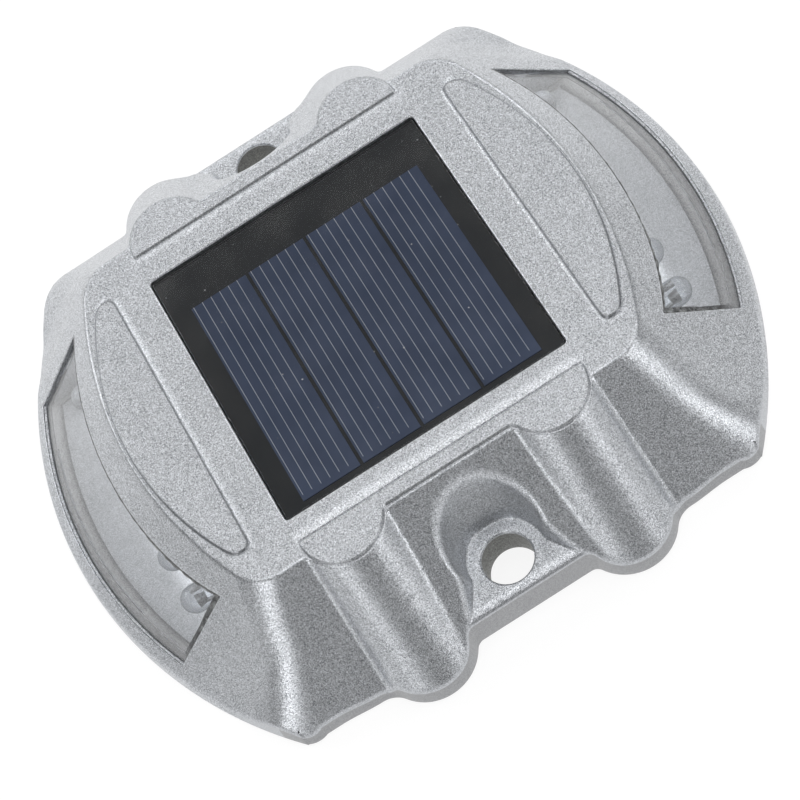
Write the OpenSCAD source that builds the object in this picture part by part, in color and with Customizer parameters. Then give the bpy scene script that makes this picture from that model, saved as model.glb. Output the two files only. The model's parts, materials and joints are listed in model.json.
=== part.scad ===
// Solar road stud: low die-cast aluminium body fixed to the road by two
// bolts, a square solar panel let into the flat top, a clear window with six
// round LEDs at each end, electronics and cell inside, closed from below.
// Units are millimetres.  +X runs along the length (window to window),
// +Y runs from the front bolt tab to the back bolt tab, +Z is up.
// The origin lies on the road plane, at the middle of the base.

/* [Body] */
// Overall length of the body at the road plane, window side to window side
body_l = 145; // [141:1:149]
// Width between the straight front and back edges of the base
body_w = 119.6; // [117:0.2:123]
// Height of the flat top above the road plane
top_h = 26.1; // [25.8:0.1:27.5]
// Length of the flat top
top_l = 100; // [97:1:103]
// Width of the flat top between its straight edges
top_w = 79.2; // [78.4:0.2:81]
// Plan radius of the two bulged ends at the road plane
end_r = 83.8; // [80:0.2:92]
// Plan radius of the two bulged ends at the flat top
top_end_r = 86; // [80:0.5:95]
// Height of the upright skirt round the foot of the body
skirt_h = 3; // [2:0.1:3.4]
// How far the skirt leans in over its own height
skirt_draft = 0.4; // [0.2:0.1:0.8]

/* [Lobes and pads] */
// Distance between the centres of the two lobes on one side
lobe_gap = 43.6; // [42:0.2:45]
// Radius of a lobe at the flat top
lobe_top_r = 8.6; // [8:0.1:9]
// Radius of a lobe at the foot
lobe_foot_r = 9.6; // [9:0.1:10]
// Distance from the middle of the body to the lobe centre at the flat top
lobe_top_y = 36.4; // [35.5:0.1:37]
// Distance from the middle of the body to the lobe centre at the foot
lobe_foot_y = 56.2; // [55:0.1:57]
// Height of the raised pads on the flat top
pad_h = 0.4; // [0.3:0.1:0.7]
// Length of a crescent pad beside the panel
crescent_l = 62.4; // [58:0.2:64]

/* [Bolt tabs] */
// Diameter of the bolt hole in each tab
bolt_d = 10; // [9:0.1:10.6]
// Distance between the two bolt holes
bolt_pitch = 104.4; // [103.6:0.2:105.6]
// Thickness of the tab under the bolt head
tab_h = 8; // [7:0.5:8.5]
// Width of the sloping face between two lobes
tab_w = 27.2; // [26:0.2:28]
// Radius of the scooped pocket at the tab
pocket_r = 7.8; // [7.4:0.1:8.2]
// Radius of the scooped pocket at the height of the flat top
pocket_top_r = 11; // [10.4:0.1:11.4]

/* [Windows] */
// Width of each window opening
window_w = 66.2; // [64:0.2:66.4]
// Height of the upper edge of the window opening
window_top = 20; // [19.6:0.1:20.4]
// Height of the lower lip of the window opening
window_lip = 5.4; // [5.2:0.1:5.8]
// Height of the painted floor behind the lens
window_floor = 4.2; // [4:0.1:4.4]
// How far the lens face sits inside the sloping body surface
lens_inset = 1; // [0.8:0.1:1.3]
// Wall of the lens measured level
lens_wall = 2; // [1.6:0.1:2.2]

/* [LEDs] */
// Diameter of one LED
led_d = 5.6; // [5:0.1:5.8]
// Spacing of the six LEDs on a board
led_pitch = 10.2; // [9.8:0.1:10.4]
// Height of the LED axes above the road plane
led_z = 10.8; // [10.4:0.1:11.2]
// Distance of the LED tips from the middle of the body
led_tip_x = 55.8; // [55.2:0.1:56]

/* [Panel] */
// Side of the square solar panel
panel_s = 60; // [59:0.2:60.2]
// Offset of the panel towards the front tab
panel_off = 0.6; // [0:0.1:0.8]
// Depth of the panel face below the flat top
panel_sink = 0.6; // [0.5:0.1:0.8]
// Width of one of the four cell strips
cell_w = 12.3; // [11.8:0.1:12.4]
// Length of a cell strip
cell_l = 48.6; // [46:0.2:49]
// Spacing of the cell strips
cell_pitch = 13; // [12.8:0.1:13]

/* [Cover] */
// Length of the bottom cover
cover_l = 95.4; // [95:0.1:95.6]
// Width of the bottom cover
cover_w = 83.4; // [83:0.1:83.6]
// Thickness of the bottom cover
cover_t = 2; // [1.8:0.1:2]
// Thickness of the cover gasket
gasket_t = 0.8; // [0.7:0.1:0.9]
// Thread diameter of a cover screw
screw_d = 3; // [2.8:0.1:3]

/* [Switch] */
// Diameter of the power button
button_d = 8.4; // [8:0.1:8.4]
// Travel of the power button
button_travel = 1.8; // [1.2:0.1:2]

/* [Hidden] */
$fn = 64;

e = 0.01;
slab = 0.02;
lobe_x = lobe_gap / 2;
bolt_y = bolt_pitch / 2;
half_win = window_w / 2;
win_lo = -panel_off - half_win;        // nearer end of the window openings
cover_z = 0.5;                       // underside of the cover
ledge_z = cover_z + cover_t + gasket_t;
ceil_z = 21;                         // inner ceiling under the panel pocket
cav_x = 42.8;                        // half length of the inner room
cav_y = 38;                          // half width of the inner room
bay_x = 45.7;                        // where the LED bay starts
cover_pts = [[39.2, 34.4], [-39.2, 34.4], [39.2, -34.4], [-39.2, -34.4], [0, 34.4], [0, -34.4]];
post_pts = [[-35, 4.2], [5, 4.2], [-35, 27.4], [5, 27.4]];
board_z = 13.4;
board_t = 1.6;
panel_z = top_h - panel_sink;        // face of the panel
pv_cover = 0.5;
pv_cell = 0.25;
pv_board = 1.3;
pv_glue = 0.4;
pocket_z = panel_z - pv_cover - pv_cell - pv_board - pv_glue;
sw = [26, 14];
well_z = 3.1;                        // floor of the finger well under the button
bat = [0, -18, 11.6];
cell_off = -3.8;                     // the strips sit nearer the front edge of the panel
led_base = led_tip_x - 8.6;

// ---------- plans ----------
function end_x(r, hl, y) = sqrt(r * r - y * y) - (r - hl);

module plan(hl, hw, r, rc, n = 30)
  offset(r = rc, $fn = 32) offset(delta = -rc)
    polygon(concat(
      [for (i = [0:n]) let (y = -hw + 2 * hw * i / n) [end_x(r, hl, y), y]],
      [for (i = [0:n]) let (y = hw - 2 * hw * i / n) [-end_x(r, hl, y), y]]));

module rrect(l, w, r)
  hull() for (x = [-1, 1], y = [-1, 1])
    translate([x * (l / 2 - r), y * (w / 2 - r)]) circle(r);

module rplate(l, w, r, h)
  linear_extrude(h) offset(r = r, $fn = 32) square([l - 2 * r, w - 2 * r], center = true);

// the sloping bulk of the body, drawn in by d
module bulk(d = 0)
  hull() {
    linear_extrude(slab) plan(body_l / 2 - d, body_w / 2, end_r, 3.5);
    translate([0, 0, skirt_h])
      linear_extrude(slab) plan(body_l / 2 - skirt_draft - d, body_w / 2 - skirt_draft, end_r, 3.5);
    translate([0, 0, top_h - slab])
      linear_extrude(slab) plan(top_l / 2 - d, top_w / 2, top_end_r, 2.5);
  }

module lobe(sx, sy)
  hull() {
    translate([sx * lobe_x, sy * lobe_foot_y, 0]) cylinder(r = lobe_foot_r, h = slab, $fn = 48);
    translate([sx * lobe_x, sy * (lobe_foot_y - skirt_draft / 2), skirt_h + 1.4])
      cylinder(r = lobe_foot_r - skirt_draft / 2, h = slab, $fn = 48);
    translate([sx * lobe_x, sy * lobe_top_y, top_h - slab]) cylinder(r = lobe_top_r, h = slab, $fn = 48);
  }

// sloping face between two lobes, running down to the bolt tab
module tab_wedge(sy)
  translate([-lobe_x, 0, 0]) rotate([90, 0, 90])
    linear_extrude(2 * lobe_x)
      polygon([[0, 0], [sy * 60, 0], [sy * 59.6, tab_h], [sy * top_w / 2, top_h], [0, top_h]]);

// scooped pocket over the tab: a cone round the bolt hole, opening wider to the front
module scoop(sy) {
  y0 = bolt_y - 2.7;
  flare = (tab_w / 2 - 1.6 - 0.87 * pocket_r) / (body_w / 2 - 0.4 - y0);
  w0 = 0.87 * pocket_r;
  w1 = 0.89 * pocket_top_r;
  translate([0, sy * bolt_y, tab_h]) cylinder(r1 = pocket_r, r2 = pocket_top_r + 0.18, h = top_h - tab_h + 1);
  hull() for (q = [[y0, 0], [62, flare * (62 - y0)]]) {
    translate([-w0 - q[1], sy * q[0] - slab / 2, tab_h]) cube([2 * (w0 + q[1]), slab, slab]);
    translate([-w1 - q[1], sy * q[0] - slab / 2, top_h + 1]) cube([2 * (w1 + q[1]), slab, slab]);
  }
}

module strip_pad(sy)
  translate([0, 0, top_h - e]) linear_extrude(pad_h + e)
    difference() {
      union() {
        for (sx = [-1, 1]) translate([sx * lobe_x, sy * lobe_top_y]) circle(lobe_top_r);
        translate([-lobe_x, sy > 0 ? lobe_top_y : -top_w / 2]) square([2 * lobe_x, top_w / 2 - lobe_top_y]);
      }
      translate([-40, sy > 0 ? 0 : -lobe_top_y]) square([80, lobe_top_y]);
    }

module crescent_pad(sx)
  translate([0, 0, top_h - e]) linear_extrude(pad_h + e)
    intersection() {
      translate([-sx * 15.2, 0]) circle(r = 64.6, $fn = 160);
      translate([sx > 0 ? 38 : -51, -crescent_l / 2]) square([13, crescent_l]);
    }

module bay(sx) {
  // opening from the lip to the upper edge, and the painted floor behind the lip
  translate([sx > 0 ? bay_x : -80, win_lo, window_lip]) cube([80 - bay_x, window_w, window_top - window_lip]);
  translate([0, 0, window_floor]) linear_extrude(window_lip - window_floor + e)
    intersection() {
      plan(68.8, body_w / 2, end_r, 3.5);
      translate([sx > 0 ? bay_x : -80, win_lo]) square([80 - bay_x, window_w]);
    }
  // window in the inner wall behind the LED board
  translate([sx > 0 ? cav_x - 1 : -bay_x - e, -28, 6.4]) cube([bay_x - cav_x + 1 + e, 56, 11.6]);
}

module housing() color("silver")
  difference() {
    union() {
      bulk();
      for (sx = [-1, 1], sy = [-1, 1]) lobe(sx, sy);
      for (sy = [-1, 1]) { tab_wedge(sy); strip_pad(sy); }
      for (sx = [-1, 1]) crescent_pad(sx);
    }
    for (sy = [-1, 1]) {
      scoop(sy);
      translate([0, sy * bolt_y, -1]) cylinder(d = bolt_d, h = tab_h + 2);
    }
    // panel pocket and the slot for its leads
    translate([0, -panel_off, pocket_z]) rplate(panel_s + 0.4, panel_s + 0.4, 0.6, 10);
    translate([-6, 5.5, ceil_z - 1]) cube([12, 5, 5]);
    // rebate for cover and gasket, inner room with screw bosses and board posts
    translate([0, 0, -1]) rplate(cover_l + 0.6, cover_w + 0.6, 5.3, 1 + ledge_z);
    difference() {
      translate([0, 0, ledge_z - e]) rplate(2 * cav_x, 2 * cav_y, 3, ceil_z - ledge_z + e);
      for (p = cover_pts) translate([p[0], p[1], 0]) cylinder(r = 3.6, h = 30);
      for (p = cover_pts)
        translate([p[0] > 0 ? p[0] - 1.5 : p[0] < 0 ? p[0] - 6 : -2.4, p[1] > 0 ? p[1] - 1.5 : p[1] - 6, 0])
          cube([p[0] == 0 ? 4.8 : 7.5, 7.5, 30]);
      for (p = post_pts) translate([p[0], p[1], board_z + board_t]) cylinder(r = 2.6, h = 30);
    }
    for (p = cover_pts) translate([p[0], p[1], 2]) cylinder(d = screw_d + 0.1, h = 12);
    for (p = post_pts) translate([p[0], p[1], 14]) cylinder(r = 1.05, h = 5);
    for (sx = [-1, 1]) bay(sx);
    // cored-out pockets under the lobes and the four corners
    for (sx = [-1, 1], sy = [-1, 1]) {
      translate([sx * lobe_x, sy * 51.5, -1]) cylinder(r = 3.9, h = 11);
      translate([sx * 53.6, sy * 39, -1]) cylinder(r = 3.8, h = 6);
    }
  }

// ---------- panel ----------
module panel_gasket() color("black")
  translate([0, -panel_off, pocket_z]) difference() {
    rplate(panel_s, panel_s, 0.5, pv_glue);
    translate([0, panel_off, -1]) linear_extrude(3) translate([-9, 2]) square([18, 12]);
  }

module panel_board() color("#17181b")
  translate([0, -panel_off, pocket_z + pv_glue]) rplate(panel_s, panel_s, 0.5, pv_board);

module solar_cells() color("#1d2a44")
  for (i = [-1.5:1:1.5])
    translate([i * cell_pitch - cell_w / 2, -panel_off + cell_off - cell_l / 2, pocket_z + pv_glue + pv_board])
      cube([cell_w, cell_l, pv_cell]);

module panel_cover() color("#20242c", 0.4)
  translate([0, -panel_off, pocket_z + pv_glue + pv_board]) difference() {
    rplate(panel_s, panel_s, 0.5, pv_cover + pv_cell);
    for (i = [-1.5:1:1.5])
      translate([i * cell_pitch - cell_w / 2, cell_off - cell_l / 2, -1]) cube([cell_w, cell_l, pv_cell + 1]);
  }

// ---------- windows ----------
module lens(sx) color("#e8eef0", 0.5)
  difference() {
    intersection() {
      bulk(lens_inset);
      translate([sx > 0 ? 47.8 : -80, win_lo + 0.3, window_floor + 0.7])
        cube([80 - 47.8, window_w - 0.6, window_top - window_floor - 0.8]);
      linear_extrude(40) plan(68.5, body_w / 2, end_r, 3.5);
    }
    intersection() {
      bulk(lens_inset + lens_wall);
      translate([0, 0, -1]) linear_extrude(40) intersection() {
        plan(64.4, body_w / 2, end_r, 3.5);
        translate([-80, win_lo + 1.9]) square([160, window_w - 3.8]);
      }
    }
  }
module left_lens() lens(-1);
module right_lens() lens(1);

// bed of grey sealant under the lens foot and up its two ends
module lens_seal(sx) color("#7d8286")
  translate([0, 0, window_floor]) linear_extrude(0.7)
    difference() {
      intersection() {
        plan(68.6, body_w / 2, end_r, 3.5);
        translate([sx > 0 ? 50 : -80, win_lo + 0.1]) square([30, window_w - 0.2]);
      }
      intersection() {
        plan(64.4, body_w / 2, end_r, 3.5);
        translate([-80, win_lo + 1.9]) square([160, window_w - 3.8]);
      }
    }
module left_lens_seal() lens_seal(-1);
module right_lens_seal() lens_seal(1);

module led_board(sx) color("#e6e8e6")
  translate([sx > 0 ? bay_x + 0.05 : -led_base, -30.6, 5.2]) cube([led_base - bay_x - 0.05, 61.2, 13]);
module left_led_board() led_board(-1);
module right_led_board() led_board(1);

led_ys = [for (i = [-2.5:1:2.5]) i * led_pitch - panel_off];

// metal frame cast into one LED: two legs, a cup post and an anvil
module led_frame(grow = 0) {
  for (s = [-1, 1]) translate([0.02, s * 1.27 - 0.25 - grow, -0.25 - grow]) cube([3.6, 0.5 + 2 * grow, 0.5 + 2 * grow]);
  translate([3.6, -1.55 - grow, -0.25 - grow]) cube([2.1 + grow, 1.9 + 2 * grow, 0.5 + 2 * grow]);
  translate([3.6, 0.7 - grow, -0.25 - grow]) cube([2.4 + grow, 0.85 + 2 * grow, 0.5 + 2 * grow]);
}
module led_body(dir)
  difference() {
    union() {
      rotate([0, 90, 0]) cylinder(d = led_d, h = 8.6 - led_d / 2, $fn = 48);
      rotate([0, 90, 0]) cylinder(d = led_d + 0.8, h = 1, $fn = 48);
      translate([8.6 - led_d / 2, 0, 0]) sphere(d = led_d, $fn = 48);
    }
    led_frame();
  }
module left_leds() color("#dfe6ea", 0.5)
  for (y = led_ys) translate([-led_base, y, led_z]) rotate([0, 0, 180]) led_body();
module right_leds() color("#dfe6ea", 0.5)
  for (y = led_ys) translate([led_base, y, led_z]) led_body();
module left_led_frames() color("#b9bcc0")
  for (y = led_ys) translate([-led_base, y, led_z]) rotate([0, 0, 180]) led_frame();
module right_led_frames() color("#b9bcc0")
  for (y = led_ys) translate([led_base, y, led_z]) led_frame();

// ---------- electronics ----------
module main_board() color("#1f5a35")
  difference() {
    translate([-38, 1, board_z]) cube([46, 29.4, board_t]);
    for (p = post_pts) translate([p[0], p[1], board_z - 1]) cylinder(r = 1.15, h = 4);
  }
module board_screws() color("#c8c9cc")
  for (p = post_pts) translate([p[0], p[1], 0]) {
    translate([0, 0, board_z - 1.2]) difference() {
      cylinder(r = 1.9, h = 1.2);
      translate([-0.25, -1.3, -1]) cube([0.5, 2.6, 1.6]);
      translate([-1.3, -0.25, -1]) cube([2.6, 0.5, 1.6]);
    }
    translate([0, 0, board_z]) cylinder(r = 1, h = 4.6);
  }
module choke_coil() color("#3a3c3e")
  translate([-27, 15.5, board_z - 5.6]) {
    difference() {
      union() {
        cylinder(r = 4, h = 1.2);
        cylinder(r = 2.9, h = 5.6);
        translate([0, 0, 4.4]) cylinder(r = 4, h = 1.2);
      }
    }
  }
module storage_capacitor() color("#24304a")
  translate([-12, 23, board_z - 8]) {
    cylinder(r = 3.1, h = 7.6);
    translate([0, 0, 7.6]) cylinder(r = 2.7, h = 0.4);
  }
module controller_chip() color("#232425")
  translate([-12, 10, board_z]) {
    translate([-2.5, -2, -1.6]) cube([5, 4, 1.4]);
    for (s = [-1, 1], i = [-1.5:1:1.5]) translate([i * 1.27 - 0.2, s > 0 ? 1.99 : -2.99, -0.9]) cube([0.4, 1, 0.9]);
  }

module battery_holder() color("#202224")
  difference() {
    translate([-29, bat[1] - 8.6, 9.4]) cube([58, 17.2, ceil_z - 9.4]);
    translate([-25.9, 0, 0]) translate([0, bat[1], bat[2]]) rotate([0, 90, 0]) cylinder(r = 7.3, h = 51.8);
    translate([-25.9, bat[1] - 7.3, 0]) cube([51.8, 14.6, bat[2]]);
    for (s = [-1, 1]) translate([s > 0 ? 26.8 : -27.6, bat[1] - 3.6, 0]) cube([0.8, 7.2, 17]);
    for (s = [-1, 1]) translate([s > 0 ? 25.8 : -26.9, bat[1] - 2.6, 0]) cube([1.1, 5.2, 17]);
  }
module battery_contacts() color("#cfd1d3")
  for (s = [-1, 1]) {
    translate([s > 0 ? 26.85 : -27.25, bat[1] - 3.3, 6.6]) cube([0.4, 6.6, 10]);
    translate([s > 0 ? 25.6 : -26.85, bat[1] - 1.2, bat[2] - 1.2]) cube([1.25, 2.4, 2.4]);
  }
module battery_cell() color("#b7babd")
  translate([-25.6, bat[1], bat[2]]) rotate([0, 90, 0]) {
    cylinder(r = 6.95, h = 50);
    translate([0, 0, 50]) cylinder(r = 2.7, h = 1.2);
  }
module battery_sleeve() color("#2c6e52")
  translate([-25.4, bat[1], bat[2]]) rotate([0, 90, 0]) difference() {
    cylinder(r = 7.1, h = 49.6);
    translate([0, 0, -1]) cylinder(r = 6.95, h = 60);
  }

// round wire laid through a list of points, each run along one axis
module wire(p, r = 0.6) {
  for (i = [0:len(p) - 2]) let (v = p[i + 1] - p[i], l = norm(v))
    translate(p[i])
      rotate(v[2] > 0.01 ? [0, 0, 0] : v[2] < -0.01 ? [180, 0, 0]
           : v[0] > 0.01 ? [0, 90, 0] : v[0] < -0.01 ? [0, -90, 0]
           : v[1] > 0 ? [-90, 0, 0] : [90, 0, 0])
        cylinder(r = r, h = l, $fn = 24);
  for (i = [1:1:len(p) - 2]) translate(p[i]) sphere(r = r * 1.06, $fn = 24);
}
module battery_lead_red() color("#b3261f")
  wire([[27.25, -16.5, 8], [31, -16.5, 8], [31, -3, 8], [2.2, -3, 8], [2.2, 2.6, 8], [2.2, 2.6, board_z]]);
module battery_lead_black() color("#1b1b1c")
  wire([[-27.25, -16.5, 8], [-31, -16.5, 8], [-31, -3, 8], [-1.4, -3, 8], [-1.4, 2.6, 8], [-1.4, 2.6, board_z]]);
module panel_lead_red() color("#b3261f")
  wire([[-2.4, 8, board_z + board_t], [-2.4, 8, pocket_z + pv_glue]]);
module panel_lead_black() color("#1b1b1c")
  wire([[2.4, 8, board_z + board_t], [2.4, 8, pocket_z + pv_glue]]);
module led_wires(sx)
  for (k = [0, 1]) let (y = (sx > 0 ? 22.6 : 9) + 2 * k, x = sx > 0 ? 4.4 + 2 * k : -34 - 2 * k)
    wire([[sx * (bay_x + 0.05), y, 11], [x, y, 11], [x, y, board_z]]);
module left_led_wires() color("#d8d8d4") led_wires(-1);
module right_led_wires() color("#d8d8d4") led_wires(1);
module switch_wires() color("#d8d8d4")
  for (y = [12.6, 15.4]) wire([[sw[0] - 6.3, y, 11], [y - 9.4, y, 11], [y - 9.4, y, board_z]]);

// ---------- switch and cover ----------
module switch_body() color("#2a2b2d")
  translate([sw[0], sw[1], 0]) difference() {
    translate([-6.3, -6.3, well_z + 1.6]) cube([12.6, 12.6, 9.8]);
    translate([0, 0, well_z]) cylinder(r = button_d / 2 + 1.1, h = 5.4 + button_travel);
  }
module power_button() color("#c23b2e")
  translate([sw[0], sw[1], 0]) {
    translate([0, 0, 1.3]) cylinder(d = button_d, h = 5.6);
    translate([0, 0, 0.9]) cylinder(d1 = button_d - 0.8, d2 = button_d, h = 0.4);
    translate([0, 0, well_z + 1.9]) cylinder(r = button_d / 2 + 0.8, h = 1.2);
  }
module bottom_cover() color("#26282a")
  difference() {
    union() {
      translate([0, 0, cover_z]) rplate(cover_l, cover_w, 5, cover_t);
      translate([sw[0], sw[1], cover_z]) cylinder(r = 10.6, h = well_z + 1.6 - cover_z);
    }
    translate([sw[0], sw[1], -1]) cylinder(r = 9, h = 1 + well_z);
    translate([sw[0], sw[1], -1]) cylinder(r = button_d / 2 + 0.3, h = 10);
    for (p = cover_pts) translate([p[0], p[1], 0]) {
      cylinder(r = screw_d / 2 + 0.2, h = 10);
      translate([0, 0, cover_z - 0.01]) cylinder(r1 = screw_d / 2 + 1.45, r2 = screw_d / 2 + 0.2, h = 1.26);
    }
    // shallow grooves that key the road adhesive
    for (x = [-28:8:4]) translate([x - 1, -26, 0]) cube([2, 52, cover_z + 0.4]);
  }
module cover_gasket() color("#111214")
  translate([0, 0, cover_z + cover_t]) difference() {
    rplate(cover_l, cover_w, 5, gasket_t);
    translate([0, 0, -1]) rplate(2 * cav_x + 1.6, 2 * cav_y + 0.8, 3.4, 3);
  }
module cover_screws() color("#c4c6c9")
  for (p = cover_pts) translate([p[0], p[1], cover_z]) {
    difference() {
      cylinder(r1 = screw_d / 2 + 1.4, r2 = screw_d / 2 , h = 1.4);
      translate([-0.35, -1.7, -1]) cube([0.7, 3.4, 1.7]);
      translate([-1.7, -0.35, -1]) cube([3.4, 0.7, 1.7]);
    }
    translate([0, 0, 1.4]) cylinder(d = screw_d, h = 8.6);
  }

housing();
panel_gasket();
panel_board();
solar_cells();
panel_cover();
left_lens();
right_lens();
left_lens_seal();
right_lens_seal();
left_led_board();
right_led_board();
left_leds();
right_leds();
left_led_frames();
right_led_frames();
main_board();
board_screws();
choke_coil();
storage_capacitor();
controller_chip();
battery_holder();
battery_contacts();
battery_cell();
battery_sleeve();
battery_lead_red();
battery_lead_black();
panel_lead_red();
panel_lead_black();
left_led_wires();
right_led_wires();
switch_wires();
switch_body();
power_button();
bottom_cover();
cover_gasket();
cover_screws();
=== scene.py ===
import json
import math

import bpy
import numpy as np
from mathutils import Matrix, Vector
from mathutils.geometry import delaunay_2d_cdt
from mathutils.kdtree import KDTree


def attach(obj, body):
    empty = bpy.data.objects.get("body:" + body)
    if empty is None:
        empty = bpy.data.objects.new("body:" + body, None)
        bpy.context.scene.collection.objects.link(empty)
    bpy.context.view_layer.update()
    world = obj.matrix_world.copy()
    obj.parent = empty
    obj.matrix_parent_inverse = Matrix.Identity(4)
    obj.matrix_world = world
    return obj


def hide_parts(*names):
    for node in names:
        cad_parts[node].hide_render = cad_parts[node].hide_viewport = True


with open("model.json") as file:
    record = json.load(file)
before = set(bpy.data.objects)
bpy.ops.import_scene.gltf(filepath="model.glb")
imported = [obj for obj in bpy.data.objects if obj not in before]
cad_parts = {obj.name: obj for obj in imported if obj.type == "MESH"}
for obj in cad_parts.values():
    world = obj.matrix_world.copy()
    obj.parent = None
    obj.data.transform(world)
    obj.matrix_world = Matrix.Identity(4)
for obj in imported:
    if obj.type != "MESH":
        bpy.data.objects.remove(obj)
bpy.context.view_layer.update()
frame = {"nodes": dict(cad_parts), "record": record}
MM = 0.001

# ------------------------------------------------------------------ sizes, mm
TOP = 26.1          # flat top
SKIRT = 3.0
TAB = 8.0
LX, LY0, LR0 = 21.8, 36.4, 8.6      # lobe centre and radius at the flat top
LYB, LRB, LZB = 56.0, 9.4, 4.4      # the same where the lobe's upright foot starts
BOLT_Y = 52.2
WIN = 33.1            # half width of a window opening, about y = PAN_OFF
ROOF, LIP, FLOOR = 20.0, 5.4, 4.2
BAY_X = 45.7
PAN_OFF = -0.6
PAN_Z = 25.5


def smax(a, b, k):
    return np.maximum(a, b) + np.maximum(k - np.abs(a - b), 0) ** 2 / (4 * k)


def smin(a, b, k):
    return -smax(-a, -b, k)


def sstep(a, b, x):
    t = np.clip((x - a) / (b - a), 0, 1)
    return t * t * (3 - 2 * t)


def swell(ay):
    """how far the outline bulges past its arc towards the corners"""
    return 0.85 * (ay / 54.0) ** 3


def side_h(ax, ay):
    """height of the bulged side surface"""
    f1 = np.hypot(ax + 36.0, ay) - 86.0
    f0 = 83.3 + swell(ay) + 2.1 * sstep(47.5, 57.0, ay) - 0.9 * sstep(36.5, 42.0, ay) * sstep(50.5, 46.0, ay) - np.hypot(ax + 11.3, ay)
    return TOP - (TOP - SKIRT) * f1 / np.maximum(f1 + f0, 3.0)


def side_x(z, y, inset=0.0):
    """x of the side surface at height z"""
    z, y = np.broadcast_arrays(np.asarray(z, float), np.abs(np.asarray(y, float)))
    a, b = np.full(z.shape, 36.0), np.full(z.shape, 76.0)
    for _ in range(36):
        m = (a + b) / 2
        up = side_h(m, y) > z
        a, b = np.where(up, m, a), np.where(up, b, m)
    return (a + b) / 2 - inset


def arc_x(r, half, y):
    return np.sqrt(r * r - np.asarray(y, float) ** 2) - (r - half)


def solid_d(ax, ay, z):
    """implicit distance of the casting's outer form, negative inside"""
    ds = (z - side_h(ax, ay)) * 0.69
    dp = (z - (TOP - 1.149 * (ay - 39.3))) * 0.656
    s = TOP - z
    d = smax(ds, dp, 3.6 + 0.6 * np.exp(-np.maximum(s, 0) / 5.0))
    la, lb = (LYB - LY0) / (TOP - LZB), (LRB - LR0) / (TOP - LZB)
    dx, dy = ax - LX, ay - (LY0 + la * s)
    rho = np.hypot(dx, dy) + 1e-9
    dl = (rho - (LR0 + lb * s)) / np.sqrt(1 + (la * dy / rho - lb) ** 2)
    outer = smin(d, dl, 0.9)
    wedge = (z - (TOP - 0.9141 * (ay - 39.6))) * 0.738
    inner = smin(wedge, dl, 0.8)
    d = np.where(ax > LX, outer, inner)
    # scooped pocket over the bolt tab
    rr = 7.8 + 3.2 * (z - TAB) / 18.1
    t = np.maximum(ay - BOLT_Y, 0)
    flare = np.sqrt((0.66 * t) ** 2 + 0.64) - 0.8
    dc = np.where(ay < BOLT_Y, np.hypot(ax, ay - BOLT_Y) - rr, ax - rr - flare)
    pocket = smax(dc * 0.97, TAB - z, 0.32)
    d = smax(d, -pocket, 1.4)
    return smax(d, z - TOP, 0.45 - 0.07 * sstep(32.0, 37.0, ay))


def body_h(x, y):
    ax, ay = np.abs(x), np.abs(y)
    a, b = np.full(ax.shape, -2.0), np.full(ax.shape, 27.0)
    for _ in range(22):
        m = (a + b) / 2
        inside = solid_d(ax, ay, m) < 0
        a, b = np.where(inside, m, a), np.where(inside, b, m)
    return (a + b) / 2


def pad_d(x, y):
    ax, ay = np.abs(x), np.abs(y)
    crescent = smax(smax(38.0 - ax, np.hypot(ax + 15.2, ay) - 64.6, 1.4), ay - 31.2, 1.8)
    disc = np.hypot(ax - LX, ay - LY0) - 8.3
    bar = np.maximum(ax - LX, ay - 38.85)
    line = np.where(y > 0, 36.3, 36.0)
    strip = smax(smin(disc, bar, 1.2), line - ay, 0.5)
    return np.minimum(crescent, strip)


def height(x, y):
    h = body_h(x, y)
    d = pad_d(x, y)
    h = h + 0.33 * sstep(0.19, -0.21, d)
    return h - 0.15 * np.exp(-(((d - 0.27) / 0.18) ** 2))


def normals_at(x, y, e=0.06):
    gx = (height(x + e, y) - height(x - e, y)) / (2 * e)
    gy = (height(x, y + e) - height(x, y - e)) / (2 * e)
    n = np.stack([-gx, -gy, np.ones_like(gx)], 1)
    return n / np.linalg.norm(n, axis=1)[:, None]


# ------------------------------------------------------------------ plan curves
def arc(c, r, a0, a1, step):
    n = max(2, int(abs(a1 - a0) * r / step) + 1)
    a = np.linspace(a0, a1, n)
    return np.stack([c[0] + r * np.cos(a), c[1] + r * np.sin(a)], 1)


def line(p, q, step):
    n = max(2, int(math.dist(p, q) / step) + 1)
    t = np.linspace(0, 1, n)[:, None]
    return np.array(p, float) * (1 - t) + np.array(q, float) * t


def clean(P, closed=True, tol=1e-4):
    keep = [P[0]]
    for p in P[1:]:
        if math.dist(p, keep[-1]) > tol:
            keep.append(p)
    if closed and math.dist(keep[0], keep[-1]) < tol:
        keep.pop()
    return np.array(keep)


def area(P):
    x, y = P[:, 0], P[:, 1]
    return 0.5 * np.sum(x * np.roll(y, -1) - np.roll(x, -1) * y)


def out_dirs(P):
    """unit-offset directions away from the enclosed area of a closed curve"""
    if area(P) < 0:
        P = P[::-1]
        flip = True
    else:
        flip = False
    e = np.roll(P, -1, 0) - P
    n = np.stack([e[:, 1], -e[:, 0]], 1)
    n /= np.linalg.norm(n, axis=1)[:, None]
    m = np.roll(n, 1, 0)
    d = (n + m) / (1 + np.sum(n * m, 1))[:, None]
    return d[::-1] if flip else d


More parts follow.
